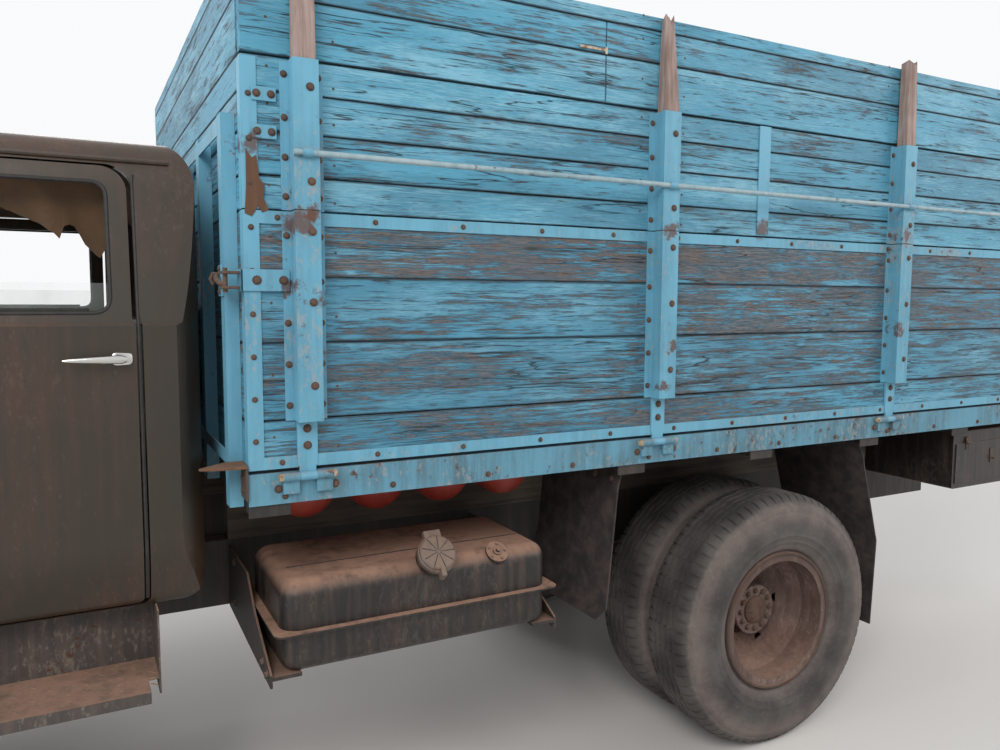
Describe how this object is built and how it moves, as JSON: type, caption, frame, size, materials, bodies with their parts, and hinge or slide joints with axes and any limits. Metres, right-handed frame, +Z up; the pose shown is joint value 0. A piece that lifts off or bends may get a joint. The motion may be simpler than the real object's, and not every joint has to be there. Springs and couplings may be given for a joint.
{
  "type": "military cargo truck",
  "caption": "Bonneted two-axle cargo truck with a tall wooden drop-side body, twin rear wheels and gas cylinders slung under the deck.",
  "frame": {"origin": "on the ground, under the middle of the whole truck's box", "axes": "+X forwards, +Y to the truck's left, +Z up"},
  "size_m": [7.102, 2.528, 2.904],
  "materials": {
    "frame_paint": "worn black paint with dust",
    "bumper_paint": "black paint, chipped",
    "spring_steel": "rusty black",
    "tyre": "dusty worn rubber",
    "rim_paint": "rusty grey-brown paint",
    "engine_iron": "oily cast iron",
    "radiator_core": "black",
    "exhaust_steel": "rusty",
    "tank_paint": "black paint under tan dust",
    "cylinder_paint": "faded red",
    "bearer_wood": "old timber",
    "body_steel": "light blue paint, rusting",
    "deck_wood": "bare worn planks",
    "board_wood": "sky-blue flaking paint",
    "flap_rubber": "near-black",
    "cab_paint": "faded olive-brown",
    "cab_glass": "clear",
    "lamp_glass": "ribbed lens",
    "step_paint": "black with a rusty lip",
    "seat_leather": "worn dark leather cloth",
    "seat_frame_paint": "dark",
    "wheel_plastic": "black",
    "liner_fabric": "brown, torn"
  },
  "bodies": {
    "chassis": {"frame_rails": "frame_paint", "frame_crossmembers": "frame_paint", "front_bumper": "bumper_paint", "tow_coupling": "frame_paint", "leaf_springs": "spring_steel", "front_axle": "frame_paint", "rear_axle": "frame_paint", "engine": "engine_iron", "radiator": "radiator_core", "propeller_shaft": "frame_paint", "exhaust": "exhaust_steel", "fuel_tank": "tank_paint", "tank_brackets": "frame_paint", "gas_cylinders": "cylinder_paint", "body_bearers": "bearer_wood", "body_sills": "body_steel", "body_crossmembers": "frame_paint", "deck": "deck_wood", "front_wall_planks": "board_wood", "front_wall_ironwork": "body_steel", "mudflaps": "flap_rubber", "tool_box": "tank_paint", "air_tanks": "tank_paint", "cab": "cab_paint", "cab_glass": "cab_glass", "fenders": "cab_paint", "grille": "cab_paint", "lamps": "lamp_glass", "steps": "step_paint", "seat": "seat_leather", "seat_frame": "seat_frame_paint", "dashboard": "cab_paint", "steering_wheel": "wheel_plastic", "headliner": "liner_fabric"},
    "front_left_wheel": {"front_left_tyre": "tyre", "front_left_rim": "rim_paint"},
    "front_right_wheel": {"front_right_tyre": "tyre", "front_right_rim": "rim_paint"},
    "rear_left_wheels": {"rear_left_tyres": "tyre", "rear_left_rims": "rim_paint"},
    "rear_right_wheels": {"rear_right_tyres": "tyre", "rear_right_rims": "rim_paint"},
    "left_steering": {"left_knuckle": "frame_paint"},
    "right_steering": {"right_knuckle": "frame_paint"},
    "steering_link": {"track_rod": "frame_paint"},
    "left_door": {"left_door": "cab_paint", "left_door_glass": "cab_glass"},
    "right_door": {"right_door": "cab_paint", "right_door_glass": "cab_glass"},
    "bonnet": {"bonnet": "cab_paint"},
    "left_board": {"left_board_planks": "board_wood", "left_board_ironwork": "body_steel"},
    "right_board": {"right_board_planks": "board_wood", "right_board_ironwork": "body_steel"},
    "tailboard": {"tailboard_planks": "board_wood", "tailboard_ironwork": "body_steel"}
  },
  "joints": [
    {"name": "left_steer", "type": "hinge", "parent": "chassis", "child": "left_steering", "pos_m": [2.47605, 0.77, 0.535], "axis": [0, 0, 1], "range_deg": [-34, 34]},
    {"name": "right_steer", "type": "hinge", "parent": "chassis", "child": "right_steering", "pos_m": [2.47605, -0.77, 0.535], "axis": [0, 0, 1], "range_deg": [-34, 34]},
    {"name": "steering_link_turn", "type": "hinge", "parent": "left_steering", "child": "steering_link", "pos_m": [2.32605, 0.77, 0.468], "axis": [0, 0, 1], "range_deg": [-34, 34]},
    {"name": "front_left_roll", "type": "hinge", "parent": "left_steering", "child": "front_left_wheel", "pos_m": [2.47605, 0.9, 0.535], "axis": [0, 1, 0], "continuous": true},
    {"name": "front_right_roll", "type": "hinge", "parent": "right_steering", "child": "front_right_wheel", "pos_m": [2.47605, -0.9, 0.535], "axis": [0, 1, 0], "continuous": true},
    {"name": "rear_left_roll", "type": "hinge", "parent": "chassis", "child": "rear_left_wheels", "pos_m": [-1.32395, 0.93, 0.535], "axis": [0, 1, 0], "continuous": true},
    {"name": "rear_right_roll", "type": "hinge", "parent": "chassis", "child": "rear_right_wheels", "pos_m": [-1.32395, -0.93, 0.535], "axis": [0, 1, 0], "continuous": true},
    {"name": "left_door_swing", "type": "hinge", "parent": "chassis", "child": "left_door", "pos_m": [1.84505, 1.062, 1.4], "axis": [0, 0, -1], "range_deg": [0, 65]},
    {"name": "right_door_swing", "type": "hinge", "parent": "chassis", "child": "right_door", "pos_m": [1.84505, -1.062, 1.4], "axis": [0, 0, 1], "range_deg": [0, 65]},
    {"name": "bonnet_lift", "type": "hinge", "parent": "chassis", "child": "bonnet", "pos_m": [2.16205, 0, 1.614], "axis": [0, -1, 0], "range_deg": [0, 50]},
    {"name": "left_board_drop", "type": "hinge", "parent": "chassis", "child": "left_board", "pos_m": [-1.3045, 1.204, 1.35], "axis": [-1, 0, 0], "range_deg": [0, 140]},
    {"name": "right_board_drop", "type": "hinge", "parent": "chassis", "child": "right_board", "pos_m": [-1.3045, -1.204, 1.35], "axis": [1, 0, 0], "range_deg": [0, 140]},
    {"name": "tailboard_drop", "type": "hinge", "parent": "chassis", "child": "tailboard", "pos_m": [-3.49105, 0, 1.35], "axis": [0, -1, 0], "range_deg": [0, 140]}
  ],
  "couplings": [
    {"joint": "right_steer", "follows": "left_steer", "ratio": 1},
    {"joint": "steering_link_turn", "follows": "left_steer", "ratio": -1}
  ]
}
